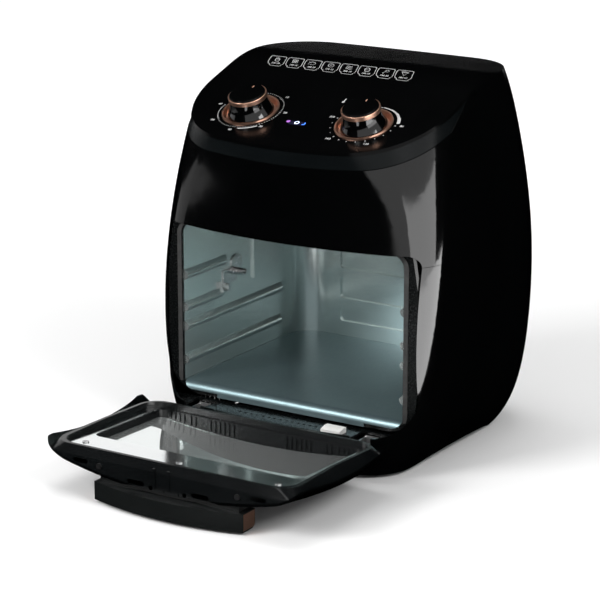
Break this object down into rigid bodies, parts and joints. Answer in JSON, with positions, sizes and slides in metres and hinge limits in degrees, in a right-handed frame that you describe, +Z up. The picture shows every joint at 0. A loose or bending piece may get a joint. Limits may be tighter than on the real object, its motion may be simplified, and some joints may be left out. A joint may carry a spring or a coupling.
{
  "type": "air fryer oven",
  "caption": "Upright countertop fry oven with a barrel shaped housing, slanted control deck, hot air fan, steel cavity and a bowed glass door that drops open.",
  "frame": {"origin": "middle of the footprint on the worktop, door open", "axes": "+Z up, the door faces -Y, +X to the right of someone facing the door"},
  "size_m": [0.323, 0.5022, 0.384],
  "materials": {
    "gloss_black": "gloss",
    "deck_black": "satin",
    "visor_grey": "matt",
    "knob_black": "matt",
    "copper": "metallic satin",
    "cavity_steel": "satin",
    "bezel_black": "satin",
    "seal_grey": "matt",
    "dark_glass": "polished",
    "clear_glass": "polished",
    "door_black": "satin",
    "trim_silver": "satin",
    "bright_steel": "polished",
    "plain_steel": "galvanised",
    "heater_tube": "oxidised",
    "motor_metal": "satin",
    "mechanism_metal": "plated",
    "board_green": "matt",
    "lens_tint": "polished",
    "white_plastic": "satin",
    "foot_rubber": "matt",
    "inner_black": "matt"
  },
  "bodies": {
    "housing": {"upper_housing": "gloss_black", "lower_housing": "gloss_black", "rear_cover": "inner_black", "base_plate": "inner_black", "feet": "foot_rubber", "control_panel": "deck_black", "visor_band": "visor_grey", "timer_dial_ring": "copper", "temperature_dial_ring": "copper", "timer_mechanism": "mechanism_metal", "thermostat": "mechanism_metal", "thermostat_probe": "copper", "indicator_window": "lens_tint", "indicator_board": "board_green", "cavity_liner": "cavity_steel", "cavity_floor": "cavity_steel", "door_bezel": "bezel_black", "door_gasket": "seal_grey", "hinge_brackets": "plain_steel", "hinge_pins": "plain_steel", "heater_coil": "heater_tube", "heater_guard": "bright_steel", "heater_clips": "plain_steel", "fan_chamber": "plain_steel", "motor": "motor_metal", "motor_bracket": "plain_steel", "rotisserie_bracket": "bright_steel", "rotisserie_motor": "motor_metal", "door_switch": "white_plastic", "switch_spring": "bright_steel", "cord_gland": "foot_rubber", "thermal_fuse": "bright_steel", "cover_screws": "plain_steel"},
    "door": {"door_skin": "gloss_black", "door_outer_glass": "dark_glass", "door_inner_frame": "door_black", "door_inner_glass": "clear_glass", "door_trim_plate": "trim_silver", "door_trim_screws": "bright_steel", "door_handle": "gloss_black", "handle_end_caps": "copper", "door_edge_screws": "plain_steel", "hinge_arms": "plain_steel"},
    "timer_knob": {"timer_knob_skirt": "knob_black", "timer_knob_collar": "copper", "timer_knob_cap": "knob_black", "timer_shaft": "plain_steel"},
    "temperature_knob": {"temperature_knob_skirt": "knob_black", "temperature_knob_collar": "copper", "temperature_knob_cap": "knob_black", "temperature_shaft": "plain_steel"},
    "fan": {"convection_fan": "plain_steel", "cooling_fan": "inner_black", "motor_shaft": "plain_steel"},
    "spit_socket": {"rotisserie_socket": "plain_steel"},
    "door_button": {"switch_button": "white_plastic"}
  },
  "joints": [
    {"name": "door_hinge", "type": "hinge", "parent": "housing", "child": "door", "pos_m": [0, -0.04462, 0.0345], "axis": [-1, 0, 0], "range_deg": [0, 90]},
    {"name": "timer_turn", "type": "hinge", "parent": "housing", "child": "timer_knob", "pos_m": [-0.0663, 0.00847, 0.34574], "axis": [0, -0.342, 0.9397], "range_deg": [-300, 0]},
    {"name": "temperature_turn", "type": "hinge", "parent": "housing", "child": "temperature_knob", "pos_m": [0.0663, 0.00847, 0.34574], "axis": [0, -0.342, 0.9397], "range_deg": [-270, 0]},
    {"name": "fan_spin", "type": "hinge", "parent": "housing", "child": "fan", "pos_m": [0, 0.09187, 0.27], "axis": [0, 0, 1], "continuous": true},
    {"name": "spit_spin", "type": "hinge", "parent": "housing", "child": "spit_socket", "pos_m": [0.13, 0.07587, 0.158], "axis": [1, 0, 0], "continuous": true},
    {"name": "door_button_press", "type": "slide", "parent": "housing", "child": "door_button", "axis": [0, 0, -1], "range_m": [0, 0.003], "stiffness_N_per_m": 200, "springref_m": -0.004, "deforming": ["switch_spring"]}
  ]
}
